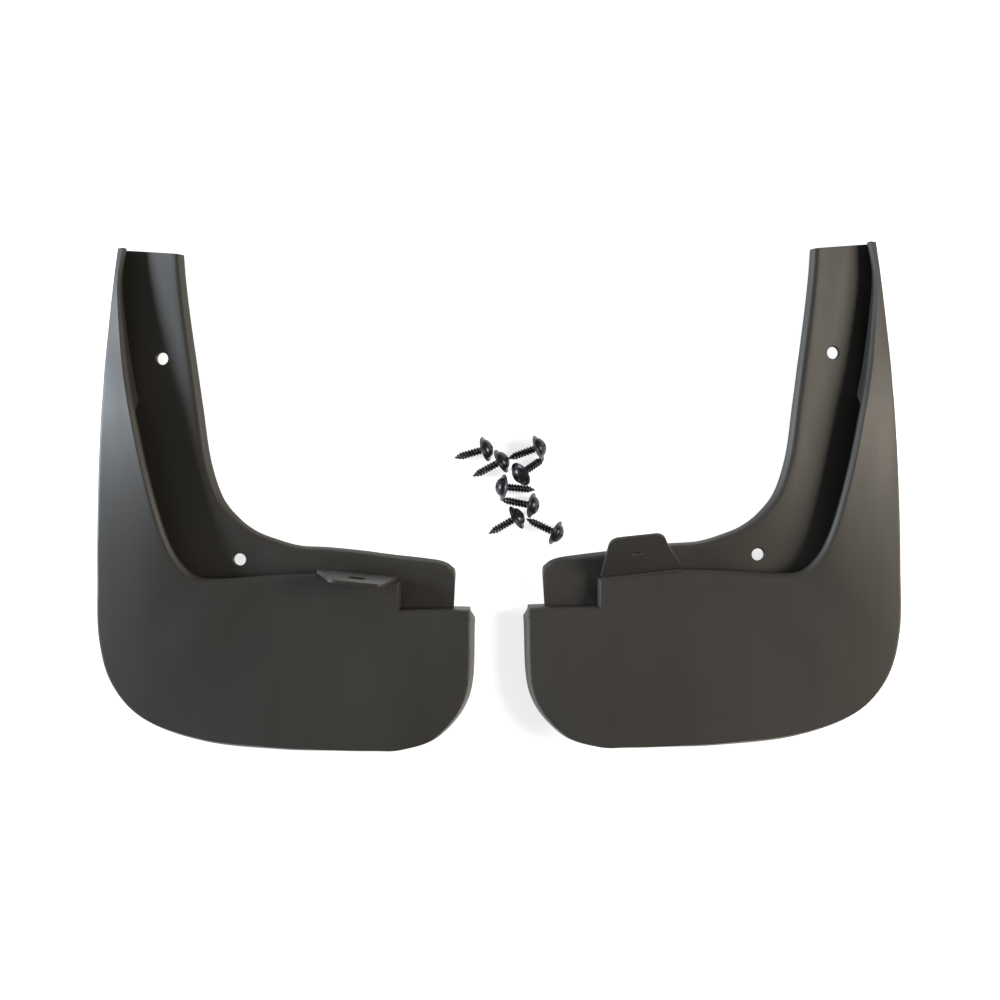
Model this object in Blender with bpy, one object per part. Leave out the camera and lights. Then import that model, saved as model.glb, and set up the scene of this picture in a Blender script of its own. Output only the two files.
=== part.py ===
"""A pair of moulded mud flaps for a passenger car, with the eight screws that fix them.

Metres, +Z up. The set lies on the plane z = 0 with the flaps' show faces up. The left flap is on
the -X side, the right flap is its mirror image, and the screws lie in a loose pile between them.

Each flap is one thin moulding. A broad panel and a tapering wing form the show face, which falls
away to the base line all round its outside. The inboard side of the wing and the top of the panel
end in a lip. Behind the lip, a flange with two screw holes curves round to fit the wheel arch, and
the arch's edge goes into the channel between lip and flange. A slotted tab folds on a thin crease
at the top of the panel.
"""

import math
from collections import namedtuple

import bmesh
import bpy
import numpy as np
from mathutils import Matrix, Vector

MM = 0.001

# A flap's own frame, in millimetres: X runs from the outer edge to the inboard end, Y from the
# bottom edge to the wing's tip, and Z up from the surface that the flap lies on.
WALL = 2.2  # thickness of the moulding
LIP_CHAMFER_DROP = 1.8
LIP_DRAFT = 0.07
WALL_ROUNDING = 1.1  # rounding from the outer wall to the face
LEAST_LIP = 0.3  # the lip always reaches this far below the face's underside
RIM_WIDTH = 2.6  # the flange's free edge turns down over this width
RIM_DROP = 4.0
WEB_EMBED = 1.0  # the web that carries the flange reaches this far into the shell
RUN_STEPS = 2  # sections from one station to the next
WALL_STEPS = (0.0, 1.6, 2.6, 3.2, 4.2, 5.6)  # distances from the base line
FACE_STEPS = 4
FLOOR_STEPS = 3
NARROW_FACE = 9.0  # where the face is narrower than this, the wall steps close up

# One row for each station round the flap, from the wing's tip to the panel's inboard end.
#   base      point of the outer base line, at z = 0
#   crest     point of the face's inner edge, and its height
#   wall      height of the outer wall, and how far it leans in over that height
#   chamfer   width of the chamfer from crest to lip
#   lip       depth of the lip below the chamfer
#   reach     how far the flange runs in under the face, measured from the crest
#   edge      point of the flange's free edge, and the flange's height there
#   corner    True where the crest turns sharply
Station = namedtuple("Station", "base crest wall chamfer lip reach edge corner")
STATIONS = (
    Station((12.0, 273.0), (17.4, 273.4, 17.0), (14.0, 2.0), 1.6, 1.5, 2.5, (49.4, 269.7, 17.0), False),
    Station((10.4, 256.0), (15.2, 255.6, 20.0), (16.5, 2.0), 1.6, 3.0, 3.0, (50.6, 255.0, 17.0), False),
    Station((7.9, 236.0), (16.2, 234.2, 22.5), (17.0, 2.4), 2.0, 6.0, 6.5, (53.2, 233.6, 17.0), False),
    Station((5.4, 211.0), (18.9, 208.0, 25.5), (19.0, 2.8), 2.4, 10.5, 10.5, (56.9, 208.0, 17.0), False),
    Station((3.7, 192.0), (21.9, 190.0, 27.4), (19.4, 3.2), 2.4, 14.0, 12.0, (59.4, 190.0, 16.8), True),
    Station((3.2, 186.0), (23.0, 184.5, 27.7), (19.4, 3.2), 2.4, 3.0, 12.0, (60.2, 184.5, 16.6), True),
    Station((1.9, 160.0), (28.4, 158.5, 27.8), (19.4, 3.2), 2.4, 3.0, 12.0, (63.8, 159.0, 15.6), False),
    Station((1.0, 130.0), (34.3, 134.5, 26.4), (19.2, 3.2), 2.4, 3.0, 12.0, (70.0, 139.0, 14.6), False),
    Station((0.6, 96.0), (40.4, 115.0, 24.6), (18.3, 3.2), 2.4, 3.0, 12.0, (78.5, 127.5, 13.8), False),
    Station((1.2, 62.0), (47.2, 102.0, 22.8), (17.4, 3.2), 2.4, 3.0, 12.0, (88.0, 120.0, 13.0), False),
    Station((8.6, 35.5), (57.0, 93.4, 20.8), (16.8, 3.2), 2.4, 3.0, 12.0, (99.0, 115.4, 12.4), False),
    Station((27.0, 15.6), (72.0, 92.0, 19.8), (16.4, 3.2), 2.4, 3.0, 12.0, (112.0, 111.8, 12.0), False),
    Station((60.0, 4.0), (98.0, 93.8, 18.2), (16.4, 3.0), 2.4, 3.0, 12.0, (128.0, 110.8, 11.6), False),
    Station((100.0, -0.2), (122.0, 95.6, 17.2), (16.4, 2.8), 1.6, 3.0, 12.0, (146.0, 109.0, 11.2), True),
    Station((130.0, -1.0), (145.0, 93.9, 16.8), (16.3, 2.3), 1.0, 4.0, 12.0, (162.0, 106.8, 11.0), False),
    Station((152.0, -1.2), (165.8, 92.0, 16.6), (16.2, 2.1), 1.0, 9.0, 10.0, (176.0, 105.2, 10.8), True),
    Station((169.0, -0.2), (165.8, 76.6, 16.6), (16.2, 1.8), 1.0, 14.8, 0.6, (188.8, 103.4, 10.6), True),
    Station((188.8, 7.6), (180.0, 76.6, 16.6), (16.2, 1.8), 1.0, 14.8, 0.6, (194.8, 100.3, 10.4), False),
    Station((205.2, 30.8), (196.0, 76.6, 16.6), (16.2, 2.3), 1.0, 14.8, 0.6, (197.2, 95.6, 10.4), True),
    Station((207.8, 72.4), (205.2, 76.6, 16.6), (16.2, 2.8), 0.8, 14.8, 0.6, (197.2, 76.0, 10.4), True),
)
FLANGE_STATIONS = len(STATIONS) - 1  # the last one belongs to the shell alone
FLANGE_OUTER_HEIGHT = 6.0  # of the flange where it meets the web

HOLE_RADIUS = 3.3
HOLES = ((38.5, 213.5), (80.0, 104.6))  # centres of the flange's two screw holes

# The tab, in the frame of its crease: x along the crease, h up the plate.
CREASE = ((166.4, 94.4), (121.6, 98.8))  # ends of the crease, inboard end first
CREASE_HEIGHT = 15.8
TAB_THICK = 2.0
TAB_INSET = 0.6  # from each end of the crease to the tab
CREASE_RELIEF = 1.6  # from the crease's line to the shell
TAB_OUTLINE = ((0.0, 0.0), (6.4, 25.0), (35.0, 25.0), (37.6, 15.0), (43.6, 3.0), (43.6, 0.0))
TAB_CORNERS = (0.0, 5.0, 6.5, 4.0, 1.5, 0.0)  # rounding at each point of the outline
SLOT = (5.8, 3.2)  # length and width of the slot through the tab
SLOT_POCKET = (10.0, 5.6, 1.2)  # length, width and depth of the pocket round it
SLOT_AT = (20.8, 14.2)

# Places on the surface, in millimetres: the middle of the whole set is at (0, 0).
LEFT_FLAP_AT = (-221.0, -138.0)
RIGHT_FLAP_AT = (221.8, -134.3)
RIGHT_FLAP_TURN = 0.7  # degrees
TAB_LEAN = {"left": 9.0, "right": -51.0}  # degrees from upright, positive over the panel

# The screws: 4.8 mm self-tapping screws with a flanged pan head and a cross recess.
HEAD_RADIUS = 7.0
HEAD_RIM = 0.9
DOME_RADIUS = 5.2
DOME_HEIGHT = 3.5
SHANK_RADIUS = 2.3
SHANK_LENGTH = 18.6
POINT_LENGTH = 4.5
RECESS_DEPTH = 1.8
RECESS_WIDTH = 1.1
RECESS_LENGTH = 5.2
SCREW_SIDES = 16
LYING_TILT = math.degrees(math.atan2(HEAD_RADIUS - SHANK_RADIUS, SHANK_LENGTH - POINT_LENGTH))

# One row for each screw: head centre x and y, the way its point lies in degrees, and its tilt.
SCREWS = (
    (-7.9, 26.7, 195.7, LYING_TILT),
    (0.8, 20.0, 207.7, LYING_TILT),
    (21.1, 27.6, 200.0, LYING_TILT),
    (11.9, 13.1, 34.3, 31.6),
    (2.4, 6.0, -5.3, LYING_TILT),
    (17.4, -4.0, 168.6, LYING_TILT),
    (9.2, -10.8, 210.5, 18.6),
    (30.5, -19.0, 154.1, LYING_TILT),
)


# ---------------------------------------------------------------- mesh helpers

def clear_scene():
    for obj in list(bpy.data.objects):
        bpy.data.objects.remove(obj, do_unlink=True)


def make_material(name, colour, roughness, metallic):
    material = bpy.data.materials.new(name)
    material.use_nodes = True
    shader = material.node_tree.nodes["Principled BSDF"]
    shader.inputs["Base Color"].default_value = (*colour, 1.0)
    shader.inputs["Roughness"].default_value = roughness
    shader.inputs["Metallic"].default_value = metallic
    return material


def new_object(name, mesh, material=None):
    obj = bpy.data.objects.new(name, mesh)
    bpy.context.scene.collection.objects.link(obj)
    if material is not None:
        mesh.materials.append(material)
    return obj


def mesh_from(name, points, faces):
    """A mesh of points in millimetres, with its faces turned outwards."""
    mesh = bpy.data.meshes.new(name)
    mesh.from_pydata([tuple(float(c) * MM for c in p) for p in points], [], faces)
    shape = bmesh.new()
    shape.from_mesh(mesh)
    bmesh.ops.remove_doubles(shape, verts=shape.verts, dist=0.01 * MM)
    bmesh.ops.recalc_face_normals(shape, faces=shape.faces)
    shape.to_mesh(mesh)
    shape.free()
    return mesh


def loft(name, sections):
    """A closed solid through a row of closed sections that all have the same number of points."""
    count = len(sections[0])
    points = [p for section in sections for p in section]
    faces = []
    for i in range(len(sections) - 1):
        for j in range(count):
            k = (j + 1) % count
            faces.append((i * count + j, i * count + k, (i + 1) * count + k, (i + 1) * count + j))
    faces.append(tuple(range(count)))
    faces.append(tuple(range(len(points) - count, len(points))))
    return mesh_from(name, points, faces)


def extrude_outline(name, outline, low, high):
    """A prism over a plan outline, between two heights."""
    sections = [[(x, y, z) for x, y in outline] for z in (low, high)]
    return loft(name, sections)


def make_cutter(name, mesh):
    obj = new_object(name, mesh)
    obj.hide_render = True
    obj.display_type = "WIRE"
    return obj


def add_boolean(obj, other, operation):
    modifier = obj.modifiers.new(f"{operation.lower()} {other.name}", "BOOLEAN")
    modifier.operation = operation
    modifier.object = other


def smooth_shading(obj, degrees=35.0):
    obj.data.shade_smooth()
    obj.data.set_sharp_from_angle(angle=math.radians(degrees))


def rounded_outline(points, radii, steps=4):
    """A closed outline with each corner replaced by a curve that starts and ends radii away."""
    outline = []
    for i, (point, radius) in enumerate(zip(points, radii)):
        corner = Vector(point)
        if radius == 0.0:
            outline.append(tuple(corner))
            continue
        before = (Vector(points[i - 1]) - corner).normalized() * radius
        after = (Vector(points[(i + 1) % len(points)]) - corner).normalized() * radius
        for j in range(steps + 1):
            t = j / steps
            outline.append(tuple(corner + before * (1 - t) ** 2 + after * t ** 2))
    return outline


# ---------------------------------------------------------------- flap moulding

def between_stations(stations):
    """Rows of numbers on smooth curves through the stations."""
    rows = np.array([(*s.base, *s.crest, s.wall[0], s.chamfer, s.lip, s.reach, *s.edge, s.wall[1])
                     for s in stations])
    crest_columns = [2, 3, 4, 6, 7, 8]
    found = []
    for i in range(len(rows) - 1):
        before, after = max(i - 1, 0), min(i + 2, len(rows) - 1)
        step = rows[i + 1] - rows[i]
        leave = (rows[i + 1] - rows[before]) / (i + 1 - before)
        arrive = (rows[after] - rows[i]) / (after - i)
        if stations[i].corner:
            leave[crest_columns] = step[crest_columns]
        if stations[i + 1].corner:
            arrive[crest_columns] = step[crest_columns]
        for j in range(RUN_STEPS):
            t = j / RUN_STEPS
            found.append((2 * t**3 - 3 * t**2 + 1) * rows[i] + (t**3 - 2 * t**2 + t) * leave
                         + (3 * t**2 - 2 * t**3) * rows[i + 1] + (t**3 - t**2) * arrive)
    found.append(rows[-1])
    return np.array(found)


def distance_to_line(point, line):
    """How far a plan point is from a polyline."""
    starts, steps = line[:-1], np.diff(line, axis=0)
    along = np.einsum("ij,ij->i", point - starts, steps) / np.einsum("ij,ij->i", steps, steps)
    nearest = starts + np.clip(along, 0.0, 1.0)[:, None] * steps
    return float(np.min(np.linalg.norm(point - nearest, axis=1)))


def base_line(rows):
    """The outer base line, carried on past both ends."""
    line = rows[:, 0:2]
    return np.vstack([2 * line[0] - line[1], line, line[-1] + (0.0, 20.0)])


def face_height(from_base, row, crest_from_base):
    """Height of the show face: the outer wall from the base line, then an even rise to the crest."""
    crest_height, wall_height, wall_run = row[4], row[5], row[12]
    distance = max(from_base, 0.0)
    wall = wall_height * distance / wall_run
    rise = wall_height + (crest_height - wall_height) * distance / crest_from_base
    lower = math.exp(-wall / WALL_ROUNDING) + math.exp(-rise / WALL_ROUNDING)
    return max(-WALL_ROUNDING * math.log(lower), 0.0)


def recess_side(rows):
    """Plan directions from the crest towards the recess, square to the crest."""
    crest = rows[:, 2:4]
    ahead = np.vstack([np.diff(crest, axis=0), crest[-1] - crest[-2]])
    behind = np.vstack([crest[1] - crest[0], np.diff(crest, axis=0)])
    unit = [a / np.linalg.norm(a, axis=1)[:, None] for a in (ahead, behind)]
    along = unit[0] + unit[1]
    along /= np.linalg.norm(along, axis=1)[:, None]
    return np.column_stack([-along[:, 1], along[:, 0]])


def shell_sections(rows):
    """Closed sections of the shell: over the face, round the lip and back under the face."""
    line = base_line(rows)
    sides = recess_side(rows)
    sections = []
    for row, side in zip(rows, sides):
        base, crest = row[0:2], row[2:4]
        width = np.linalg.norm(crest - base)
        way = (crest - base) / width
        squeeze = min(1.0, width / NARROW_FACE)
        wall = [d * squeeze for d in WALL_STEPS]
        face = list(np.linspace(wall[-1], width, FACE_STEPS + 1))[1:]
        crest_from_base = distance_to_line(crest, line)
        over, under = [], []
        for d in wall + face:
            point = base + way * d
            from_base = distance_to_line(point, line) if d > 0.0 else 0.0
            top = face_height(from_base, row, crest_from_base)
            bottom = face_height(from_base - WALL, row, crest_from_base) - WALL
            over.append((*point, top))
            under.append((*point, max(bottom, 0.0)))
        chamfer, lip = row[6], row[7]
        foot = chamfer + LIP_DRAFT * lip
        inside = crest + side * (foot - WALL)
        under[-1] = (*inside, under[-1][2])
        shoulder_height = over[-1][2] - LIP_CHAMFER_DROP
        lip_height = max(min(shoulder_height - lip, under[-1][2] - LEAST_LIP), 0.0)
        edge = [
            (*(crest + side * chamfer), shoulder_height),
            (*(crest + side * foot), lip_height),
            (*inside, lip_height),
        ]
        sections.append(over + edge + under[:0:-1])
    return sections


def thicken(chain, thickness):
    """Both sides of a chain of section points (along, height), mitred at its bends."""
    chain = np.array(chain)
    ways = np.diff(chain, axis=0)
    ways /= np.linalg.norm(ways, axis=1)[:, None]
    left, right = [], []
    for i, point in enumerate(chain):
        before, after = ways[max(i - 1, 0)], ways[min(i, len(ways) - 1)]
        along = (before + after) / np.linalg.norm(before + after)
        normal = np.array([-along[1], along[0]])
        reach = thickness / 2 / float(np.dot(along, after))
        left.append(point + normal * reach)
        right.append(point - normal * reach)
    return left + right[::-1]


def flange_sections(rows):
    """Closed sections of the flange: down the web, across the floor and over the rim."""
    line = base_line(rows)
    sections = []
    for row in rows[:(FLANGE_STATIONS - 1) * RUN_STEPS + 1]:
        base, crest, edge, edge_height = row[0:2], row[2:4], row[9:11], row[11]
        inward = (base - crest) / np.linalg.norm(base - crest)
        foot = crest + inward * row[8]
        crest_from_base = distance_to_line(crest, line)
        from_base = distance_to_line(foot, line)
        under_face = face_height(from_base - WALL / 2, row, crest_from_base) - WALL
        top = under_face + WEB_EMBED
        width = np.linalg.norm(edge - foot)
        way = (edge - foot) / width
        bend = width - RIM_WIDTH
        chain = [(0.0, top)]
        for t in np.linspace(0.0, 1.0, FLOOR_STEPS + 1):
            height = FLANGE_OUTER_HEIGHT + (edge_height - FLANGE_OUTER_HEIGHT) * t
            chain.append((bend * t, height))
        chain.append((width, edge_height - RIM_DROP))
        sections.append([(*(foot + way * d), z) for d, z in thicken(chain, WALL)])
    return sections


def flange_height_at(rows, point):
    """Height and slope direction of the flange's floor at a plan point: (height, unit normal)."""
    best = None
    for row in rows[:(FLANGE_STATIONS - 1) * RUN_STEPS + 1]:
        base, crest, edge, edge_height = row[0:2], row[2:4], row[9:11], row[11]
        foot = crest + (base - crest) / np.linalg.norm(base - crest) * row[8]
        width = np.linalg.norm(edge - foot)
        way = (edge - foot) / width
        along = float(np.dot(point - foot, way))
        off = np.linalg.norm(point - foot - way * along)
        if best is None or off < best[0]:
            slope = (edge_height - FLANGE_OUTER_HEIGHT) / (width - RIM_WIDTH)
            best = (off, FLANGE_OUTER_HEIGHT + slope * along, way * slope)
    normal = Vector((-best[2][0], -best[2][1], 1.0)).normalized()
    return best[1], normal


def add_holes(flap, rows):
    for i, centre in enumerate(HOLES):
        height, normal = flange_height_at(rows, np.array(centre))
        shape = bmesh.new()
        bmesh.ops.create_cone(shape, cap_ends=True, segments=20, radius1=HOLE_RADIUS * MM,
                              radius2=HOLE_RADIUS * MM, depth=6 * WALL * MM)
        mesh = bpy.data.meshes.new(f"hole_{i + 1}")
        shape.to_mesh(mesh)
        shape.free()
        turn = Vector((0, 0, 1)).rotation_difference(normal).to_matrix().to_4x4()
        place = Matrix.Translation(Vector((*centre, height)) * MM)
        mesh.transform(place @ turn)
        cutter = make_cutter(f"{flap.name}_hole_{i + 1}", mesh)
        add_boolean(flap, cutter, "DIFFERENCE")


def crease_frame():
    """The crease's inboard end, its direction and its length, in the flap's plan."""
    start, end = Vector(CREASE[0]), Vector(CREASE[1])
    return start, (end - start).normalized(), (end - start).length


def add_crease_relief(flap):
    """Clears a strip of the shell along the crease, so that the tab can fold."""
    start, way, length = crease_frame()
    across = Vector((way.y, -way.x))  # towards the recess
    corners = []
    for x, y in ((-3.0, -CREASE_RELIEF), (length, -CREASE_RELIEF), (length, 8.0), (-3.0, 8.0)):
        corners.append(tuple(start + way * x + across * y))
    mesh = extrude_outline("crease_relief", corners, CREASE_HEIGHT - 3.2, CREASE_HEIGHT + 6.0)
    add_boolean(flap, make_cutter(f"{flap.name}_crease_relief", mesh), "DIFFERENCE")


def make_flap(name, material):
    rows = between_stations(STATIONS)
    flap = new_object(name, loft(name, shell_sections(rows)), material)
    flange = make_cutter(f"{name}_flange", loft(f"{name}_flange", flange_sections(rows)))
    add_boolean(flap, flange, "UNION")
    add_holes(flap, rows)
    add_crease_relief(flap)
    return flap


# ---------------------------------------------------------------- mounting tab

def make_tab(name, material):
    """The tab in the frame of its crease: x along the crease, z up the plate, y towards the panel."""
    outline = rounded_outline(TAB_OUTLINE, TAB_CORNERS)
    half = TAB_THICK / 2
    sections = [[(x, y, h) for x, h in outline] for y in (-half, half)]
    tab = new_object(name, loft(name, sections), material)
    slot_length, slot_width = SLOT
    pocket_length, pocket_width, pocket_depth = SLOT_POCKET
    for label, length, width, low, high in (
        ("slot", slot_length, slot_width, -3 * half, 3 * half),
        ("pocket", pocket_length, pocket_width, -3 * half, -half + pocket_depth),
    ):
        corners = [(-1, -1), (1, -1), (1, 1), (-1, 1)]
        ring = [(SLOT_AT[0] + i * length / 2, SLOT_AT[1] + j * width / 2) for i, j in corners]
        ring = rounded_outline(ring, [width * 0.4] * 4, steps=3)
        mesh = loft(label, [[(x, y, h) for x, h in ring] for y in (low, high)])
        add_boolean(tab, make_cutter(f"{name}_{label}", mesh), "DIFFERENCE")
    roll = bmesh.new()
    bmesh.ops.create_cone(roll, cap_ends=True, segments=16, radius1=half * MM, radius2=half * MM,
                          depth=TAB_OUTLINE[-1][0] * MM)
    mesh = bpy.data.meshes.new("roll")
    roll.to_mesh(mesh)
    roll.free()
    mesh.transform(Matrix.Translation((TAB_OUTLINE[-1][0] / 2 * MM, 0, 0))
                   @ Matrix.Rotation(math.pi / 2, 4, "Y"))
    add_boolean(tab, make_cutter(f"{name}_roll", mesh), "UNION")
    return tab


# ---------------------------------------------------------------- screws

def screw_profile():
    """Half profile from the dome's top to the point, as (radius, height along the axis)."""
    dome = [(DOME_RADIUS * math.sin(a), HEAD_RIM + DOME_HEIGHT * math.cos(a))
            for a in np.radians((0.0, 35.0, 65.0, 90.0))]
    rim = [(HEAD_RADIUS, HEAD_RIM * 0.5), (HEAD_RADIUS, 0.0), (SHANK_RADIUS, -0.4)]
    point = [(SHANK_RADIUS, POINT_LENGTH - SHANK_LENGTH), (0.0, -SHANK_LENGTH)]
    return dome + rim + point


def screw_mesh(material):
    profile = screw_profile()
    points, faces, rings = [], [], []
    for radius, height in profile:
        if radius < 1e-6:
            rings.append([len(points)])
            points.append((0.0, 0.0, height))
            continue
        rings.append(list(range(len(points), len(points) + SCREW_SIDES)))
        for i in range(SCREW_SIDES):
            a = math.tau * i / SCREW_SIDES
            points.append((radius * math.cos(a), radius * math.sin(a), height))
    for upper, lower in zip(rings, rings[1:]):
        for i in range(SCREW_SIDES):
            ring = [upper[i % len(upper)], upper[(i + 1) % len(upper)],
                    lower[(i + 1) % len(lower)], lower[i % len(lower)]]
            faces.append(tuple(dict.fromkeys(ring)))
    mesh = mesh_from("screw", points, faces)
    mesh.materials.append(material)
    return mesh


def cut_recess(screw):
    """The cross recess in the head: two blades, narrower at the bottom."""
    top = HEAD_RIM + DOME_HEIGHT
    blades = []
    for turn in (0.0, math.pi / 2):
        sections = []
        for z, share in ((top - RECESS_DEPTH, 0.45), (top + 1.0, 1.0)):
            length, width = RECESS_LENGTH * share / 2, RECESS_WIDTH * (0.5 + share / 2) / 2
            ring = [(-length, -width), (length, -width), (length, width), (-length, width)]
            sections.append([(x * math.cos(turn) - y * math.sin(turn),
                              x * math.sin(turn) + y * math.cos(turn), z) for x, y in ring])
        blades.append(loft("recess", sections))
    for i, blade in enumerate(blades):
        cutter = make_cutter(f"{screw.name}_recess_{i + 1}", blade)
        cutter.parent = screw
        add_boolean(screw, cutter, "DIFFERENCE")


def lay_screw(screw, x, y, heading, tilt):
    """Lies the screw with its head's centre at (x, y) and its point towards heading, head end up."""
    lift = math.radians(tilt)
    lowest = min(height * math.sin(lift) - radius * math.cos(lift)
                 for radius, height in screw_profile())
    screw.rotation_mode = "XYZ"
    screw.rotation_euler = (0.0, math.pi / 2 - lift, math.radians(heading + 180.0))
    screw.location = Vector((x, y, -lowest)) * MM


# ---------------------------------------------------------------- assembly

def place(obj, at, turn, mirrored):
    """Sets the mesh down at its place, mirrored for the right hand."""
    flip = Matrix.Diagonal((-1.0 if mirrored else 1.0, 1.0, 1.0, 1.0))
    matrix = Matrix.Translation(Vector((*at, 0.0)) * MM) @ Matrix.Rotation(
        math.radians(turn), 4, "Z") @ flip
    obj.matrix_world = matrix
    for modifier in obj.modifiers:
        if modifier.type == "BOOLEAN":
            modifier.object.matrix_world = matrix


def tab_matrix(hand):
    """From the tab's frame to the flap's frame."""
    start, way, _ = crease_frame()
    origin = Vector((*(start + way * TAB_INSET), CREASE_HEIGHT)) * MM
    towards_panel = Vector((way.y, -way.x, 0.0)) * -1.0
    along = Vector((way.x, way.y, 0.0))
    basis = Matrix((along, towards_panel, Vector((0, 0, 1)))).transposed().to_4x4()
    lean = Matrix.Rotation(-math.radians(TAB_LEAN[hand]), 4, "X")
    return Matrix.Translation(origin) @ basis @ lean


def main():
    clear_scene()
    plastic = make_material("black moulded plastic", (0.035, 0.035, 0.034), 0.5, 0.0)
    steel = make_material("black coated steel", (0.05, 0.05, 0.055), 0.3, 0.6)
    for hand, at, turn in (("left", LEFT_FLAP_AT, 0.0), ("right", RIGHT_FLAP_AT, RIGHT_FLAP_TURN)):
        mirrored = hand == "right"
        flap = make_flap(f"{hand}_mud_flap", plastic)
        place(flap, at, turn, mirrored)
        smooth_shading(flap)
        tab = make_tab(f"{hand}_mounting_tab", plastic)
        tab_place = flap.matrix_world @ tab_matrix(hand)
        tab.matrix_world = tab_place
        for modifier in tab.modifiers:
            modifier.object.matrix_world = tab_place
        smooth_shading(tab)
    shared = screw_mesh(steel)
    for i, (x, y, heading, tilt) in enumerate(SCREWS):
        screw = new_object(f"screw_{i + 1}", shared)
        lay_screw(screw, x, y, heading, tilt)
        cut_recess(screw)
        smooth_shading(screw)


main()
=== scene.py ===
"""Looks of a mud flap set: a left and a right moulded flap, their slotted tabs, and eight screws.

Every solid of the frame is built again here, finer and in the same place: the flaps with rounded
lips and a rolled flange rim, the tabs with eased edges and the thin crease that they fold on, and
the screws with real threads. Shapes are worked out in millimetres in each piece's own frame.
"""
import math
from collections import namedtuple

import bmesh
import bpy
import numpy as np
from mathutils import Euler, Matrix, Vector


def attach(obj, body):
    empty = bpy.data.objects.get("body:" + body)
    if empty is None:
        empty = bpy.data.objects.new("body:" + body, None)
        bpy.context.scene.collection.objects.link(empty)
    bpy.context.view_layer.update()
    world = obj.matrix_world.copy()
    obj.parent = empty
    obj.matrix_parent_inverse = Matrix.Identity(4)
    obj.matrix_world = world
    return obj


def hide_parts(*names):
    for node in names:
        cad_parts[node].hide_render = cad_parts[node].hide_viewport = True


MM = 0.001

# A flap's own frame, in millimetres: X runs from the outer edge to the inboard end, Y from the
# bottom edge to the wing's tip, and Z up from the surface that the flap lies on.
WALL = 2.2  # thickness of the moulding
LIP_CHAMFER_DROP = 1.8
LIP_DRAFT = 0.07
WALL_ROUNDING = 1.1  # rounding from the outer wall to the face
LEAST_LIP = 0.3  # the lip always reaches this far below the face's underside
RIM_WIDTH = 2.6  # the flange's free edge turns down over this width
RIM_DROP = 4.0
WEB_EMBED = 1.0  # the web that carries the flange reaches this far into the shell
FLANGE_OUTER_HEIGHT = 6.0  # of the flange where it meets the web

# Fineness of the flap's surfaces: steps along the run and across the section.
RUN_STEPS = 10  # sections from one station to the next
WALL_REACH = 12.0  # the wall's columns cover this distance from the base line
NARROW_FACE = 18.0  # where the face is narrower than this, the wall's columns close up
WALL_COLUMNS = 24
WALL_COLUMN_CROWDING = 1.3  # above 1, the columns lie closer together near the base line
FACE_COLUMNS = 12
FLOOR_COLUMNS = 10

# How far from each corner of a section its rounding starts.
CREST_ROUNDING = 0.9
CHAMFER_ROUNDING = 0.6
LIP_FOOT_ROUNDING = 0.6
WEB_BEND = 3.0
RIM_BEND = 2.4
RIM_END_ROUNDING = 0.7
FLANGE_BEND_STEPS = 5
SHARP_ANGLE = {"flap": 32.0, "screw": 40.0}  # degrees between faces from which an edge is sharp

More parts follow.
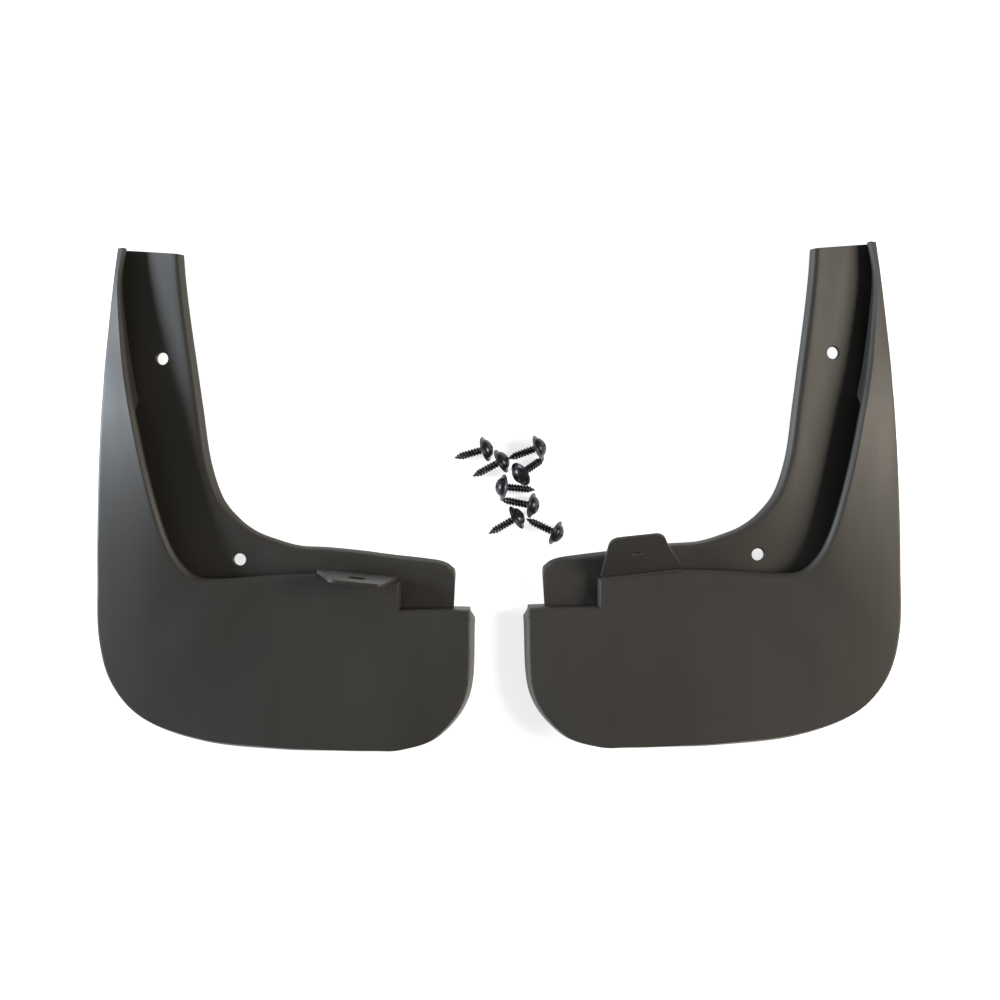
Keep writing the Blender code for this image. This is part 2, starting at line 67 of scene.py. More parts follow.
# One row for each station round the flap, from the wing's tip to the panel's inboard end.
#   base, crest   outer base line at z = 0, and inner edge of the face with its height
#   wall          height of the outer wall, and how far it leans in over that height
#   chamfer, lip  width of the chamfer from crest to lip, and depth of the lip below it
#   reach, edge   where the flange starts under the face, and its free edge with its height
#   corner        True where the crest turns sharply
Station = namedtuple("Station", "base crest wall chamfer lip reach edge corner")
STATIONS = (
    Station((12.0, 273.0), (17.4, 273.4, 17.0), (14.0, 2.0), 1.6, 1.5, 2.5, (49.4, 269.7, 17.0), False),
    Station((10.4, 256.0), (15.2, 255.6, 20.0), (16.5, 2.0), 1.6, 3.0, 3.0, (50.6, 255.0, 17.0), False),
    Station((7.9, 236.0), (16.2, 234.2, 22.5), (17.0, 2.4), 2.0, 6.0, 6.5, (53.2, 233.6, 17.0), False),
    Station((5.4, 211.0), (18.9, 208.0, 25.5), (19.0, 2.8), 2.4, 10.5, 10.5, (56.9, 208.0, 17.0), False),
    Station((3.7, 192.0), (21.9, 190.0, 27.4), (19.4, 3.2), 2.4, 14.0, 12.0, (59.4, 190.0, 16.8), True),
    Station((3.2, 186.0), (23.0, 184.5, 27.7), (19.4, 3.2), 2.4, 3.0, 12.0, (60.2, 184.5, 16.6), True),
    Station((1.9, 160.0), (28.4, 158.5, 27.8), (19.4, 3.2), 2.4, 3.0, 12.0, (63.8, 159.0, 15.6), False),
    Station((1.0, 130.0), (34.3, 134.5, 26.4), (19.2, 3.2), 2.4, 3.0, 12.0, (70.0, 139.0, 14.6), False),
    Station((0.6, 96.0), (40.4, 115.0, 24.6), (18.3, 3.2), 2.4, 3.0, 12.0, (78.5, 127.5, 13.8), False),
    Station((1.2, 62.0), (47.2, 102.0, 22.8), (17.4, 3.2), 2.4, 3.0, 12.0, (88.0, 120.0, 13.0), False),
    Station((8.6, 35.5), (57.0, 93.4, 20.8), (16.8, 3.2), 2.4, 3.0, 12.0, (99.0, 115.4, 12.4), False),
    Station((27.0, 15.6), (72.0, 92.0, 19.8), (16.4, 3.2), 2.4, 3.0, 12.0, (112.0, 111.8, 12.0), False),
    Station((60.0, 4.0), (98.0, 93.8, 18.2), (16.4, 3.0), 2.4, 3.0, 12.0, (128.0, 110.8, 11.6), False),
    Station((100.0, -0.2), (122.0, 95.6, 17.2), (16.4, 2.8), 1.6, 3.0, 12.0, (146.0, 109.0, 11.2), True),
    Station((130.0, -1.0), (145.0, 93.9, 16.8), (16.3, 2.3), 1.0, 4.0, 12.0, (162.0, 106.8, 11.0), False),
    Station((152.0, -1.2), (165.8, 92.0, 16.6), (16.2, 2.1), 1.0, 9.0, 10.0, (176.0, 105.2, 10.8), True),
    Station((169.0, -0.2), (165.8, 76.6, 16.6), (16.2, 1.8), 1.0, 14.8, 0.6, (188.8, 103.4, 10.6), True),
    Station((188.8, 7.6), (180.0, 76.6, 16.6), (16.2, 1.8), 1.0, 14.8, 0.6, (194.8, 100.3, 10.4), False),
    Station((205.2, 30.8), (196.0, 76.6, 16.6), (16.2, 2.3), 1.0, 14.8, 0.6, (197.2, 95.6, 10.4), True),
    Station((207.8, 72.4), (205.2, 76.6, 16.6), (16.2, 2.8), 0.8, 14.8, 0.6, (197.2, 76.0, 10.4), True),
)
FLANGE_STATIONS = len(STATIONS) - 1  # the last one belongs to the shell alone

HOLE_RADIUS = 3.3
HOLE_CHAMFER = 0.5
HOLE_CUTTER_REACH = 3.0  # of the cutter past each face of the flange
HOLE_SIDES = 48
HOLES = ((38.5, 213.5), (80.0, 104.6))  # centres of the flange's two screw holes

# The tab, in the frame of its crease: x along the crease, h up the plate.
CREASE = ((166.4, 94.4), (121.6, 98.8))  # ends of the crease, inboard end first
CREASE_HEIGHT = 15.8
TAB_THICK = 2.0
TAB_INSET = 0.6  # from each end of the crease to the tab
TAB_EDGE = 0.35  # rounding of the tab's edges
CREASE_RELIEF = 1.6  # from the crease's line to the shell
RELIEF_DEPTH = 3.2  # of the relief below the crease
RELIEF_CLEARANCE = (3.0, 8.0, 6.0)  # of the relief past the crease's end, over the recess and upwards

# Outline of the thin web that the tab folds on: distance towards the recess from the crease's
# line, and height. It runs from the face's edge to just short of the tab's roll.
CREASE_WEB = ((-4.4, 14.7), (-1.7, 14.9), (-1.15, 15.3), (-1.14, 15.85), (-1.5, 16.25), (-2.7, 16.45),
              (-4.4, 16.0))
TAB_OUTLINE = ((0.0, 0.0), (6.4, 25.0), (35.0, 25.0), (37.6, 15.0), (43.6, 3.0), (43.6, 0.0))
TAB_CORNERS = (0.0, 5.0, 6.5, 4.0, 1.5, 0.0)  # rounding at each point of the outline
SLOT = (5.8, 3.2)  # length and width of the slot through the tab
SLOT_POCKET = (10.0, 5.6, 1.2)  # length, width and depth of the pocket round it
SLOT_AT = (20.8, 14.2)
SLOT_CORNERS = 0.45  # rounding of its corners, as a share of its width

# Places on the surface, in millimetres: the middle of the whole set is at (0, 0).
LEFT_FLAP_AT = (-221.0, -138.0)
RIGHT_FLAP_AT = (221.8, -134.3)
RIGHT_FLAP_TURN = 0.7  # degrees
TAB_LEAN = {"left": 9.0, "right": -51.0}  # degrees from upright, positive over the panel

# The screws: flanged pan head with a cross recess, and a thread that runs out into the point.
HEAD_RADIUS = 7.0
HEAD_RIM = 0.9
DOME_RADIUS = 5.2
DOME_HEIGHT = 3.5
SHANK_RADIUS = 2.3
SHANK_LENGTH = 18.6
POINT_LENGTH = 4.5
CORE_RADIUS = 1.65
THREAD_PITCH = 1.75
THREAD_START = -0.9  # height where the thread begins, below the head's underside at 0
RIDGE_HALF_WIDTH = 0.34  # of the thread's foot, as a share of its pitch
POINT_TAPER = 0.8  # power of the point's taper: below 1 the point is full-bodied
LEAST_POINT_RADIUS = 0.04
RECESS_DEPTH = 2.0
RECESS_WIDTH = 1.1
RECESS_LENGTH = 5.2
RECESS_FLOOR_SHARE = 0.45  # length of the recess at its floor, as a share of its length on top
LYING_TILT = math.degrees(math.atan2(HEAD_RADIUS - SHANK_RADIUS, SHANK_LENGTH - POINT_LENGTH))

# One row for each screw: head centre x and y, the way its point lies in degrees, and its tilt.
SCREWS = (
    (-7.9, 26.7, 195.7, LYING_TILT),
    (0.8, 20.0, 207.7, LYING_TILT),
    (21.1, 27.6, 200.0, LYING_TILT),
    (11.9, 13.1, 34.3, 31.6),
    (2.4, 6.0, -5.3, LYING_TILT),
    (17.4, -4.0, 168.6, LYING_TILT),
    (9.2, -10.8, 210.5, 18.6),
    (30.5, -19.0, 154.1, LYING_TILT),
)

# The view: straight down from a metre above the set, in metres.
CAMERA_AT = (0.0004, -0.0011, 1.0)
VIEW_HALF_WIDTH = 0.275
SENSOR_WIDTH = 36.0

# The studio: two soft lights low on the left and the right, a faint sky and a floor that glows.
LIGHTS = (
    ("left window", (-1.0, 0.05, 0.28), (0.4, 0.16), 14.5, (0.82, 0.9, 1.0)),
    ("right lamp", (0.95, 0.0, 0.62), (0.5, 0.5), 11.5, (1.0, 0.91, 0.78)),
)
SKY_STRENGTH = 0.16
FLOOR_GLOW = 0.72
FLOOR_HALF_WIDTH = 20000.0
FLOOR_DROP = 0.0002  # metres below the set, so that nothing lies in the floor's own plane


# ---------------------------------------------------------------- mesh helpers

def mesh_from(name, points, faces):
    """A mesh of points in millimetres, with its faces turned outwards."""
    mesh = bpy.data.meshes.new(name)
    mesh.from_pydata([tuple(float(c) * MM for c in p) for p in points], [], faces)
    shape = bmesh.new()
    shape.from_mesh(mesh)
    bmesh.ops.remove_doubles(shape, verts=shape.verts, dist=0.005 * MM)
    bmesh.ops.recalc_face_normals(shape, faces=shape.faces)
    shape.to_mesh(mesh)
    shape.free()
    return mesh


def loft(name, sections):
    """A closed solid through a row of closed sections that all have the same number of points."""
    count = len(sections[0])
    points = [p for section in sections for p in section]
    faces = []
    for i in range(len(sections) - 1):
        for j in range(count):
            k = (j + 1) % count
            faces.append((i * count + j, i * count + k, (i + 1) * count + k, (i + 1) * count + j))
    faces.append(tuple(range(count)))
    faces.append(tuple(range(len(points) - count, len(points))))
    return mesh_from(name, points, faces)


def new_object(name, mesh):
    obj = bpy.data.objects.new(name, mesh)
    bpy.context.scene.collection.objects.link(obj)
    return obj


def combine(name, mesh, steps):
    """The mesh after a list of Boolean steps, each (operation, other mesh)."""
    work = new_object("work", mesh)
    tools = []
    for operation, other in steps:
        tool = new_object("tool", other)
        tools.append(tool)
        modifier = work.modifiers.new("step", "BOOLEAN")
        modifier.operation = operation
        modifier.solver = "MANIFOLD"
        modifier.object = tool
    graph = bpy.context.evaluated_depsgraph_get()
    result = bpy.data.meshes.new_from_object(work.evaluated_get(graph))
    result.name = name
    for obj in [work, *tools]:
        bpy.data.objects.remove(obj, do_unlink=True)
    return result


def smooth(mesh, degrees):
    mesh.shade_smooth()
    mesh.set_sharp_from_angle(angle=math.radians(degrees))


def around(sides):
    """Angles in radians, one for each side of a full turn."""
    return np.linspace(0.0, math.tau, sides + 1)[:-1]


def round_corners(polygon, radii, steps=3):
    """The closed polygon with a curve in place of each corner named in radii, by its index."""
    rounded = []
    for i, corner in enumerate(polygon):
        if i not in radii:
            rounded.append(corner)
            continue
        before = polygon[i - 1] - corner
        after = polygon[(i + 1) % len(polygon)] - corner
        lengths = np.linalg.norm(before), np.linalg.norm(after)
        reach = min(radii[i], 0.45 * min(lengths))
        before = before / lengths[0] * reach
        after = after / lengths[1] * reach
        for t in np.linspace(0.0, 1.0, steps + 1):
            rounded.append(corner + before * (1 - t) ** 2 + after * t ** 2)
    return rounded


# ---------------------------------------------------------------- flap moulding

def between_stations(stations):
    """Rows of numbers on smooth curves through the stations."""
    rows = np.array([(*s.base, *s.crest, s.wall[0], s.chamfer, s.lip, s.reach, *s.edge, s.wall[1])
                     for s in stations])
    crest_columns = [2, 3, 4, 6, 7, 8]
    found = []
    for i in range(len(rows) - 1):
        before, after = max(i - 1, 0), min(i + 2, len(rows) - 1)
        step = rows[i + 1] - rows[i]
        leave = (rows[i + 1] - rows[before]) / (i + 1 - before)
        arrive = (rows[after] - rows[i]) / (after - i)
        if stations[i].corner:
            leave[crest_columns] = step[crest_columns]
        if stations[i + 1].corner:
            arrive[crest_columns] = step[crest_columns]
        for j in range(RUN_STEPS):
            t = j / RUN_STEPS
            found.append((2 * t**3 - 3 * t**2 + 1) * rows[i] + (t**3 - 2 * t**2 + t) * leave
                         + (3 * t**2 - 2 * t**3) * rows[i + 1] + (t**3 - t**2) * arrive)
    found.append(rows[-1])
    return np.array(found)


def distance_to_line(points, line):
    """How far plan points are from a polyline."""
    starts, steps = line[:-1], np.diff(line, axis=0)
    offsets = np.atleast_2d(points)[:, None, :] - starts
    along = np.clip(np.einsum("nij,ij->ni", offsets, steps)
                    / np.einsum("ij,ij->i", steps, steps), 0.0, 1.0)
    away = offsets - along[:, :, None] * steps
    return np.sqrt(np.min(np.einsum("nij,nij->ni", away, away), axis=1))


def base_line(rows):
    """The outer base line, carried on past both ends."""
    line = rows[:, 0:2]
    first = line[0] + (line[0] - line[1]) * RUN_STEPS
    return np.vstack([first, line, line[-1] + (0.0, 20.0)])


def face_height(from_base, row, crest_from_base):
    """Height of the show face: the outer wall from the base line, then an even rise to the crest."""
    crest_height, wall_height, wall_run = row[4], row[5], row[12]
    distance = np.maximum(from_base, 0.0)
    wall = wall_height * distance / wall_run
    rise = wall_height + (crest_height - wall_height) * distance / crest_from_base
    lower = np.exp(-wall / WALL_ROUNDING) + np.exp(-rise / WALL_ROUNDING)
    return np.maximum(-WALL_ROUNDING * np.log(lower), 0.0)


def recess_side(rows):
    """Plan vectors from the crest towards the recess, mitred at the crest's corners."""
    crest = rows[:, 2:4]
    steps = np.diff(crest, axis=0)
    ahead = np.vstack([steps, steps[-1]])
    behind = np.vstack([steps[0], steps])
    ahead = ahead / np.linalg.norm(ahead, axis=1)[:, None]
    behind = behind / np.linalg.norm(behind, axis=1)[:, None]
    along = ahead + behind
    along /= np.linalg.norm(along, axis=1)[:, None]
    mitre = 1 / np.einsum("ij,ij->i", along, ahead)
    return np.column_stack([-along[:, 1], along[:, 0]]) * mitre[:, None]


def shell_sections(rows):
    """Closed sections of the shell: over the face, round the lip and back under the face."""
    line = base_line(rows)
    sections = []
    for row, side in zip(rows, recess_side(rows)):
        base, crest = row[0:2], row[2:4]
        width = np.linalg.norm(crest - base)
        reach = WALL_REACH * min(1.0, width / NARROW_FACE)
        wall = reach * np.linspace(0.0, 1.0, WALL_COLUMNS) ** WALL_COLUMN_CROWDING
        spans = np.concatenate([wall, np.linspace(reach, width, FACE_COLUMNS + 1)[1:]])
        plan = base + (crest - base) / width * spans[:, None]
        from_base = distance_to_line(plan, line)
        crest_from_base = from_base[-1]
        tops = face_height(from_base, row, crest_from_base)
        bottoms = np.maximum(face_height(from_base - WALL, row, crest_from_base) - WALL, 0.0)
        chamfer, lip = row[6], row[7]
        foot = chamfer + LIP_DRAFT * lip
        inside = crest + side * (foot - WALL)
        shoulder_height = tops[-1] - LIP_CHAMFER_DROP
        lip_height = max(min(shoulder_height - lip, bottoms[-1] - LEAST_LIP), 0.0)
        over = list(np.column_stack([plan, tops]))
        under = list(np.column_stack([plan, bottoms]))
        under[-1] = np.array((*inside, bottoms[-1]))
        edge = [np.array((*(crest + side * chamfer), shoulder_height)),
                np.array((*(crest + side * foot), lip_height)),
                np.array((*inside, lip_height))]
        last = len(over) - 1
        radii = {last: CREST_ROUNDING, last + 1: CHAMFER_ROUNDING, last + 2: LIP_FOOT_ROUNDING}
        sections.append(round_corners(over + edge + under[:0:-1], radii))
    return sections


def thicken(chain, thickness):
    """Both sides of a chain of section points (along, height), mitred at its bends."""
    chain = np.array(chain)
    ways = np.diff(chain, axis=0)
    ways /= np.linalg.norm(ways, axis=1)[:, None]
    before = np.vstack([ways[0], ways])
    after = np.vstack([ways, ways[-1]])
    along = before + after
    along /= np.linalg.norm(along, axis=1)[:, None]
    reach = thickness / 2 / np.einsum("ij,ij->i", along, after)
    offset = np.column_stack([-along[:, 1], along[:, 0]]) * reach[:, None]
    return list(chain + offset) + list((chain - offset)[::-1])


def flange_rows(rows):
    """The rows that the flange runs along: it ends one station before the shell."""
    return rows[:(FLANGE_STATIONS - 1) * RUN_STEPS + 1]


def flange_sections(rows):
    """Closed sections of the flange: down the web, across the floor and over the rim."""
    line = base_line(rows)
    sections = []
    for row in flange_rows(rows):
        base, crest, edge, edge_height = row[0:2], row[2:4], row[9:11], row[11]
        inward = (base - crest) / np.linalg.norm(base - crest)
        foot = crest + inward * row[8]
        crest_from_base = distance_to_line(crest, line)[0]
        from_base = distance_to_line(foot, line)[0]
        top = face_height(from_base - WALL / 2, row, crest_from_base) - WALL + WEB_EMBED
        width = np.linalg.norm(edge - foot)
        way = (edge - foot) / width
        bend = width - RIM_WIDTH
        chain = [(0.0, top), (0.0, FLANGE_OUTER_HEIGHT)]
        for t in np.linspace(0.0, 1.0, FLOOR_COLUMNS + 1)[1:]:
            chain.append((bend * t, FLANGE_OUTER_HEIGHT + (edge_height - FLANGE_OUTER_HEIGHT) * t))
        chain.append((width, edge_height - RIM_DROP))
        chain = round_corners([np.array(p) for p in chain], {1: WEB_BEND, len(chain) - 2: RIM_BEND},
                              FLANGE_BEND_STEPS)
        outline = thicken(chain, WALL)
        rim_end = len(chain) - 1
        outline = round_corners(outline, {rim_end: RIM_END_ROUNDING, rim_end + 1: RIM_END_ROUNDING})
        sections.append([(*(foot + way * d), z) for d, z in outline])
    return sections


def flange_at(rows, point):
    """Height and unit normal of the flange's floor at a plan point."""
    best = None
    for row in flange_rows(rows):
        base, crest, edge, edge_height = row[0:2], row[2:4], row[9:11], row[11]
        foot = crest + (base - crest) / np.linalg.norm(base - crest) * row[8]
        width = np.linalg.norm(edge - foot)
        way = (edge - foot) / width
        along = float(np.dot(point - foot, way))
        off = np.linalg.norm(point - foot - way * along)
        if best is None or off < best[0]:
            slope = (edge_height - FLANGE_OUTER_HEIGHT) / (width - RIM_WIDTH)
            best = (off, FLANGE_OUTER_HEIGHT + slope * along, way * slope)
    return best[1], Vector((-best[2][0], -best[2][1], 1.0)).normalized()


def hole_cutters(rows):
    """A turned cutter for each screw hole, wider where it leaves the flange's two faces."""
    cutters = []
    for centre in HOLES:
        height, normal = flange_at(rows, np.array(centre))
        half = WALL / 2
        wide = HOLE_RADIUS + HOLE_CHAMFER + HOLE_CUTTER_REACH
        profile = [(wide, half + HOLE_CUTTER_REACH),
                   (HOLE_RADIUS, half - HOLE_CHAMFER),
                   (HOLE_RADIUS, HOLE_CHAMFER - half),
                   (wide, -half - HOLE_CUTTER_REACH)]
        sections = [[(r * math.cos(a), r * math.sin(a), z) for a in around(HOLE_SIDES)]
                    for r, z in profile]
        mesh = loft("hole", sections)
        turn = Vector((0, 0, 1)).rotation_difference(normal).to_matrix().to_4x4()
        mesh.transform(Matrix.Translation(Vector((*centre, height)) * MM) @ turn)
        cutters.append(mesh)
    return cutters


def crease_frame():
    """The crease's inboard end, its direction and its length, in the flap's plan."""
    start, end = Vector(CREASE[0]), Vector(CREASE[1])
    return start, (end - start).normalized(), (end - start).length


def along_crease(name, profile, low, high):
    """A prism along the crease of a profile (across towards the recess, height)."""
    start, way, _ = crease_frame()
    across = Vector((way.y, -way.x))
    sections = []
    for x in (low, high):
        sections.append([(*(start + way * x + across * y), z) for y, z in profile])
    return loft(name, sections)


def flap_mesh(name):
    """The whole moulding without its tab, in the flap's own frame."""
    rows = between_stations(STATIONS)
    length = crease_frame()[2]
    past_end, over_recess, upwards = RELIEF_CLEARANCE
    low, high = CREASE_HEIGHT - RELIEF_DEPTH, CREASE_HEIGHT + upwards
    relief_outline = [(-CREASE_RELIEF, low), (over_recess, low), (over_recess, high), (-CREASE_RELIEF, high)]
    relief = along_crease("relief", relief_outline, -past_end, length)
    web = along_crease("web", CREASE_WEB, TAB_INSET, length - TAB_INSET)
    steps = [("UNION", loft("flange", flange_sections(rows))), ("DIFFERENCE", relief), ("UNION", web)]
    steps += [("DIFFERENCE", cutter) for cutter in hole_cutters(rows)]
    return combine(name, loft(name, shell_sections(rows)), steps)


# ---------------------------------------------------------------- mounting tab

def tab_mesh(name):
    """The tab in the frame of its crease: x along it, z up the plate, y towards the panel."""
    ring = round_corners([np.array(p) for p in TAB_OUTLINE],
                         {i: r for i, r in enumerate(TAB_CORNERS) if r > 0.0}, 8)
    centre = np.mean(ring, axis=0)
    half = TAB_THICK / 2
    sections = []
    for turn in np.linspace(-90.0, 90.0, 9):
        inset = TAB_EDGE * (1 - math.cos(math.radians(turn)))
        y = (half - TAB_EDGE) * np.sign(turn) + TAB_EDGE * math.sin(math.radians(turn))
        rim = [p + (centre - p) / np.linalg.norm(centre - p) * inset for p in ring]
        sections.append([(x, y, h) for x, h in rim])
    roll = [(half * math.cos(a), half * math.sin(a)) for a in around(32)]
    roll_sections = []
    for x in (TAB_OUTLINE[0][0] + TAB_EDGE, TAB_OUTLINE[-1][0] - TAB_EDGE):
        roll_sections.append([(x, y, h) for y, h in roll])
    steps = [("UNION", loft("roll", roll_sections))]
    slot_length, slot_width = SLOT
    pocket_length, pocket_width, pocket_depth = SLOT_POCKET
    for length, width, low, high in ((slot_length, slot_width, -3 * half, 3 * half),
                                     (pocket_length, pocket_width, -3 * half, -half + pocket_depth)):
        corners = [np.array((SLOT_AT[0] + i * length / 2, SLOT_AT[1] + j * width / 2))
                   for i, j in ((-1, -1), (1, -1), (1, 1), (-1, 1))]
        hole = round_corners(corners, {i: width * SLOT_CORNERS for i in range(4)}, 6)
        steps.append(("DIFFERENCE", loft("slot", [[(x, y, h) for x, h in hole] for y in (low, high)])))
    return combine(name, loft(name, sections), steps)


def tab_matrix(hand):
    """From the tab's frame to the flap's frame."""
    start, way, _ = crease_frame()
    origin = Vector((*(start + way * TAB_INSET), CREASE_HEIGHT)) * MM
    towards_panel = Vector((-way.y, way.x, 0.0))
    along = Vector((way.x, way.y, 0.0))
    basis = Matrix((along, towards_panel, Vector((0, 0, 1)))).transposed().to_4x4()
    lean = Matrix.Rotation(-math.radians(TAB_LEAN[hand]), 4, "X")
    return Matrix.Translation(origin) @ basis @ lean


# ---------------------------------------------------------------- screws

def head_profile():
    """Half profile of the head from the dome's top to the shank, as (radius, height)."""
    dome = [(DOME_RADIUS * math.sin(a), HEAD_RIM + DOME_HEIGHT * math.cos(a))
            for a in np.radians(np.linspace(0.0, 84.0, 12))]
    rim = [(DOME_RADIUS + 0.25, HEAD_RIM + 0.02), (HEAD_RADIUS - 0.45, HEAD_RIM * 0.62)]
    rim += [(HEAD_RADIUS - 0.4 + 0.4 * math.cos(a), HEAD_RIM * 0.31 * (1 + math.sin(a)))
            for a in np.radians(np.linspace(70.0, -90.0, 7))]
    return dome + rim + [(CORE_RADIUS + 0.7, 0.0), (CORE_RADIUS + 0.2, -0.12), (CORE_RADIUS, -0.4)]


def turned(name, profile, sides):
    """A closed turned solid from a profile (radius, height) that starts and ends on the axis."""
    points, faces, rings = [], [], []
    for radius, height in profile:
        if radius < 1e-6:
            rings.append([len(points)])
            points.append((0.0, 0.0, height))
            continue
        rings.append(list(range(len(points), len(points) + sides)))
        for a in around(sides):
            points.append((radius * math.cos(a), radius * math.sin(a), height))
    for upper, lower in zip(rings, rings[1:]):
        for i in range(sides):
            ring = [upper[i % len(upper)], upper[(i + 1) % len(upper)],
                    lower[(i + 1) % len(lower)], lower[i % len(lower)]]
            faces.append(tuple(dict.fromkeys(ring)))
    return mesh_from(name, points, faces)


def thread_radius(height, turn):
    """Radius of the threaded shank at a height and an angle round it."""
    phase = ((height / THREAD_PITCH - turn / math.tau) % 1.0) - 0.5
    ridge = max(0.0, 1.0 - abs(phase) / RIDGE_HALF_WIDTH)
    depth = SHANK_RADIUS - CORE_RADIUS
    start = min(max((THREAD_START - height) / THREAD_PITCH, 0.0), 1.0)
    to_point = (height + SHANK_LENGTH) / POINT_LENGTH
    taper = min(max(to_point, 0.0), 1.0) ** POINT_TAPER
    return (CORE_RADIUS + depth * ridge * start) * taper


def threaded_shank(name, sides=32, per_pitch=14):
    """A solid shank whose rings follow the thread, from inside the head down to the point."""
    count = int(SHANK_LENGTH / THREAD_PITCH * per_pitch)
    heights = np.linspace(0.4, -SHANK_LENGTH + 0.05, count)
    sections = []
    for height in heights:
        ring = []
        for turn in around(sides):
            radius = max(thread_radius(min(height, -0.2), turn), LEAST_POINT_RADIUS)
            ring.append((radius * math.cos(turn), radius * math.sin(turn), height))
        sections.append(ring)
    return loft(name, sections)


def recess_blades():
    """The two crossed blades of the recess cutter, narrower at the bottom."""
    top = HEAD_RIM + DOME_HEIGHT
    blades = []
    for turn in (0.0, math.pi / 2):
        sections = []
        for z, share in ((top - RECESS_DEPTH, RECESS_FLOOR_SHARE), (top + 1.0, 1.0)):
            length, width = RECESS_LENGTH * share / 2, RECESS_WIDTH * (0.5 + share / 2) / 2
            ring = [(-length, -width), (length, -width), (length, width), (-length, width)]
            sections.append([(x * math.cos(turn) - y * math.sin(turn),
                              x * math.sin(turn) + y * math.cos(turn), z) for x, y in ring])
        blades.append(loft("recess", sections))
    return blades


def screw_mesh():
    head = turned("head", head_profile() + [(0.0, -0.4)], 56)
    steps = [("DIFFERENCE", blade) for blade in recess_blades()]
    steps.append(("UNION", threaded_shank("shank")))
    mesh = combine("screw", head, steps)
    smooth(mesh, SHARP_ANGLE["screw"])
    return mesh


def lowest_point(lift):
    """Lowest height that a screw with this lift reaches below its own origin."""
    outer = [(HEAD_RADIUS, HEAD_RIM * 0.5), (HEAD_RADIUS, 0.0),
             (SHANK_RADIUS, POINT_LENGTH - SHANK_LENGTH), (0.0, -SHANK_LENGTH)]
    return min(h * math.sin(lift) - r * math.cos(lift) for r, h in outer)


def screw_matrix(x, y, heading, tilt):
    """Lays a screw with its head's centre at (x, y) and its point towards heading, head end up."""
    lift = math.radians(tilt)
    turn = Euler((0.0, math.pi / 2 - lift, math.radians(heading + 180.0)), "XYZ")
    return Matrix.Translation(Vector((x, y, -lowest_point(lift))) * MM) @ turn.to_matrix().to_4x4()


# ---------------------------------------------------------------- materials

class Nodes:
    """A short way to add and join shader nodes in one material."""

    def __init__(self, name):
        self.material = bpy.data.materials.new(name)
        self.material.use_nodes = True
        self.tree = self.material.node_tree
        self.shader = self.tree.nodes["Principled BSDF"]
        self.place = self.add("ShaderNodeTexCoord").outputs["Object"]

    def add(self, kind, **settings):
        node = self.tree.nodes.new(kind)
        for key, value in settings.items():
            setattr(node, key, value)
        return node

    def join(self, source, target):
        self.tree.links.new(source, target)

    def stretched(self, scale):
        mapping = self.add("ShaderNodeMapping")
        mapping.inputs["Scale"].default_value = scale
        self.join(self.place, mapping.inputs["Vector"])
        return mapping.outputs["Vector"]

    def noise(self, scale, detail=3.0, place=None):
        node = self.add("ShaderNodeTexNoise")
        node.inputs["Scale"].default_value = scale
        node.inputs["Detail"].default_value = detail
        self.join(place or self.place, node.inputs["Vector"])
        return node.outputs["Fac"]

    def cells(self, scale):
        node = self.add("ShaderNodeTexVoronoi")
        node.inputs["Scale"].default_value = scale
        self.join(self.place, node.inputs["Vector"])
        return node.outputs["Distance"]

    def ramp(self, source, low, high, values):
        """Maps source from (low, high) to the two values."""
        node = self.add("ShaderNodeMapRange")
        for name, value in zip(("From Min", "From Max", "To Min", "To Max"), (low, high, *values)):
            node.inputs[name].default_value = value
        self.join(source, node.inputs["Value"])
        return node.outputs["Result"]

    def mix(self, factor, first, second):
        node = self.add("ShaderNodeMix", data_type="RGBA")
        self.join(factor, node.inputs["Factor"])
        for socket, value in ((node.inputs[6], first), (node.inputs[7], second)):
            if hasattr(value, "is_output"):
                self.join(value, socket)
            else:
                socket.default_value = (*value, 1.0)
        return node.outputs[2]

    def bump(self, height, strength, distance, under=None):
        node = self.add("ShaderNodeBump")
        node.inputs["Strength"].default_value = strength
        node.inputs["Distance"].default_value = distance
        self.join(height, node.inputs["Height"])
        if under is not None:
            self.join(under, node.inputs["Normal"])
        return node.outputs["Normal"]


def moulded_plastic(name, dark, light, roughness):
    """Black polypropylene with a fine eroded grain, faint cloudiness and handling rub."""
    n = Nodes(name)
    clouds = n.noise(9.0, 4.0)
    colour = n.mix(n.ramp(clouds, 0.35, 0.65, (0.0, 1.0)), dark, light)
    rub = n.noise(1.0, 5.0, n.stretched((60.0, 9.0, 30.0)))
    rough = n.ramp(rub, 0.3, 0.7, (roughness - 0.05, roughness + 0.05))
    n.join(colour, n.shader.inputs["Base Color"])
    n.join(rough, n.shader.inputs["Roughness"])
    sag = n.bump(n.noise(28.0, 2.0), 0.25, 0.0004)
    grain = n.bump(n.noise(2600.0, 3.0), 0.35, 0.00006, sag)
    pits = n.bump(n.cells(1500.0), 0.25, 0.00005, grain)
    n.join(pits, n.shader.inputs["Normal"])
    n.shader.inputs["IOR"].default_value = 1.5
    return n.material


def coated_steel(name):
    """Black zinc coated steel with a satin gloss, worn a little lighter in patches."""
    n = Nodes(name)
    wear = n.noise(420.0, 4.0)
    colour = n.mix(n.ramp(wear, 0.45, 0.75, (0.0, 1.0)), (0.022, 0.022, 0.025), (0.075, 0.075, 0.08))
    n.join(colour, n.shader.inputs["Base Color"])
    n.join(n.ramp(n.noise(900.0, 3.0), 0.3, 0.7, (0.2, 0.38)), n.shader.inputs["Roughness"])
    n.join(n.bump(n.noise(1800.0, 3.0), 0.2, 0.00004), n.shader.inputs["Normal"])
    n.shader.inputs["Metallic"].default_value = 0.55
    return n.material


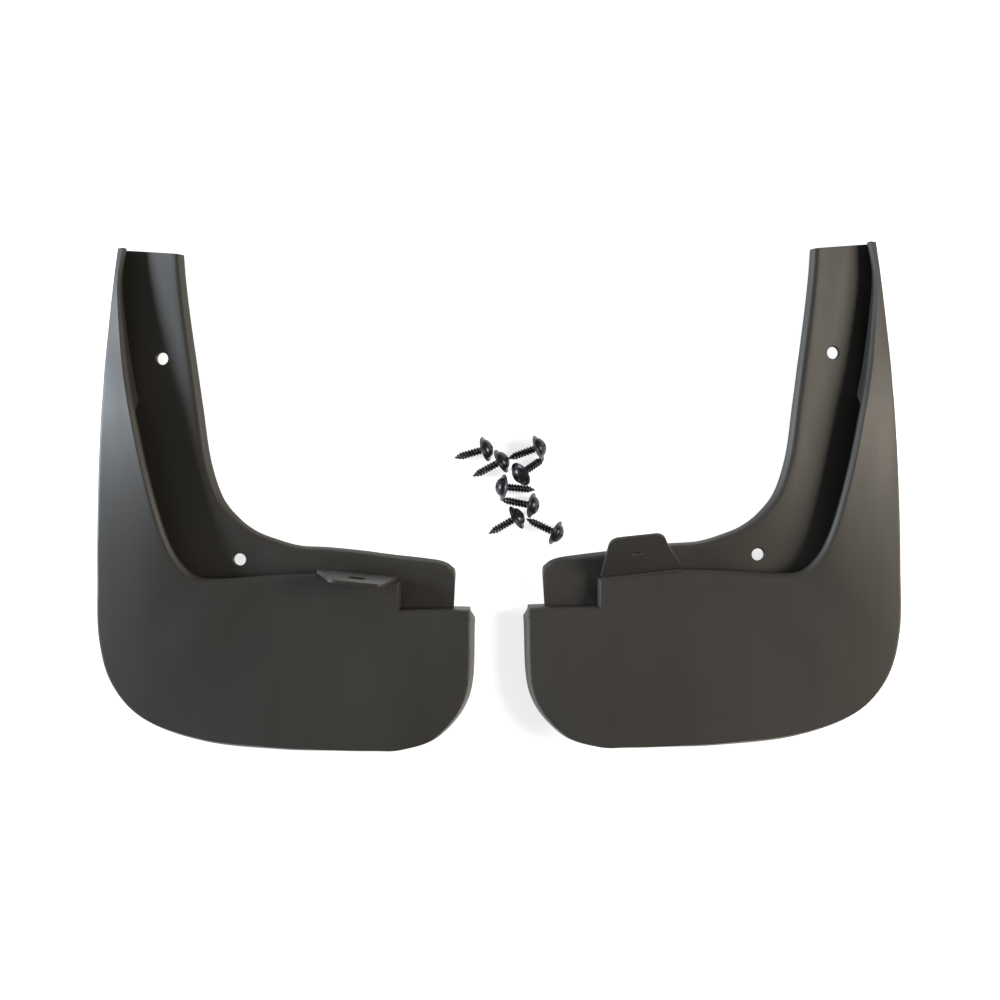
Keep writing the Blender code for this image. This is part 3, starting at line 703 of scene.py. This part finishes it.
def pale_floor():
    n = Nodes("pale floor")
    n.shader.inputs["Base Color"].default_value = (0.93, 0.93, 0.93, 1.0)
    n.shader.inputs["Roughness"].default_value = 0.7
    n.shader.inputs["Emission Color"].default_value = (1.0, 1.0, 1.0, 1.0)
    n.shader.inputs["Emission Strength"].default_value = FLOOR_GLOW
    return n.material


# ---------------------------------------------------------------- assembly

def flap_matrix(at, turn, mirrored):
    flip = Matrix.Diagonal((-1.0 if mirrored else 1.0, 1.0, 1.0, 1.0))
    return (Matrix.Translation(Vector((*at, 0.0)) * MM)
            @ Matrix.Rotation(math.radians(turn), 4, "Z") @ flip)


def placed(mesh, matrix):
    """A copy of the mesh moved by the matrix, with its faces still turned outwards."""
    copy = mesh.copy()
    copy.transform(matrix)
    if matrix.determinant() < 0:
        copy.flip_normals()
    return copy


def add_piece(name, mesh, material, body, node):
    piece = new_object(name, mesh)
    mesh.materials.clear()
    mesh.materials.append(material)
    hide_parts(node)
    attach(piece, body)
    return piece


def add_flaps():
    plastic = moulded_plastic("moulded black plastic", (0.031, 0.029, 0.0255), (0.040, 0.037, 0.0325), 0.53)
    flap = flap_mesh("flap")
    tab = tab_mesh("tab")
    smooth(flap, SHARP_ANGLE["flap"])
    smooth(tab, SHARP_ANGLE["flap"])
    for hand, at, turn in (("left", LEFT_FLAP_AT, 0.0), ("right", RIGHT_FLAP_AT, RIGHT_FLAP_TURN)):
        matrix = flap_matrix(at, turn, hand == "right")
        add_piece(f"{hand}_flap_moulding", placed(flap, matrix), plastic,
                  f"{hand}_flap", f"{hand}_mud_flap")
        add_piece(f"{hand}_tab_plate", placed(tab, matrix @ tab_matrix(hand)), plastic,
                  f"{hand}_tab", f"{hand}_mounting_tab")


def add_screws():
    steel = coated_steel("black coated steel")
    screw = screw_mesh()
    for i, place in enumerate(SCREWS):
        add_piece(f"fixing_screw_{i + 1}", placed(screw, screw_matrix(*place)), steel,
                  f"screw_{i + 1}", f"screw_{i + 1}")


def add_area_light(name, at, size, energy, colour, target=(0.0, 0.0, 0.0)):
    data = bpy.data.lights.new(name, "AREA")
    data.shape = "RECTANGLE"
    data.size, data.size_y = size
    data.energy = energy
    data.color = colour
    light = new_object(name, data)
    light.location = at
    light.rotation_euler = (Vector(target) - Vector(at)).to_track_quat("-Z", "Y").to_euler()


def add_stage():
    corners = [(i * FLOOR_HALF_WIDTH, j * FLOOR_HALF_WIDTH, 0.0)
               for i, j in ((-1, -1), (1, -1), (1, 1), (-1, 1))]
    floor = new_object("floor", mesh_from("floor", corners, [(0, 1, 2, 3)]))
    floor.data.materials.append(pale_floor())
    floor.location.z = -FLOOR_DROP
    for light in LIGHTS:
        add_area_light(*light)
    world = bpy.data.worlds.new("studio")
    bpy.context.scene.world = world
    world.use_nodes = True
    background = world.node_tree.nodes["Background"]
    background.inputs["Color"].default_value = (1.0, 1.0, 1.0, 1.0)
    background.inputs["Strength"].default_value = SKY_STRENGTH
    bpy.context.scene.view_settings.view_transform = "Standard"


def add_camera():
    data = bpy.data.cameras.new("camera")
    data.sensor_width = SENSOR_WIDTH
    data.lens = SENSOR_WIDTH / 2 / VIEW_HALF_WIDTH * CAMERA_AT[2]
    camera = new_object("camera", data)
    camera.location = CAMERA_AT
    bpy.context.scene.camera = camera


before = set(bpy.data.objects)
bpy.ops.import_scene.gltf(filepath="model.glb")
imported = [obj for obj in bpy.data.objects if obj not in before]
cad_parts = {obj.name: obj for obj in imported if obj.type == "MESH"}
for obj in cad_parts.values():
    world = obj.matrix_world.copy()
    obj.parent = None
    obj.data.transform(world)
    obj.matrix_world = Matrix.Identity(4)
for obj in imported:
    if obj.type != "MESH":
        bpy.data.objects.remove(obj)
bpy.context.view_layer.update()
add_camera()
add_stage()
add_flaps()
add_screws()
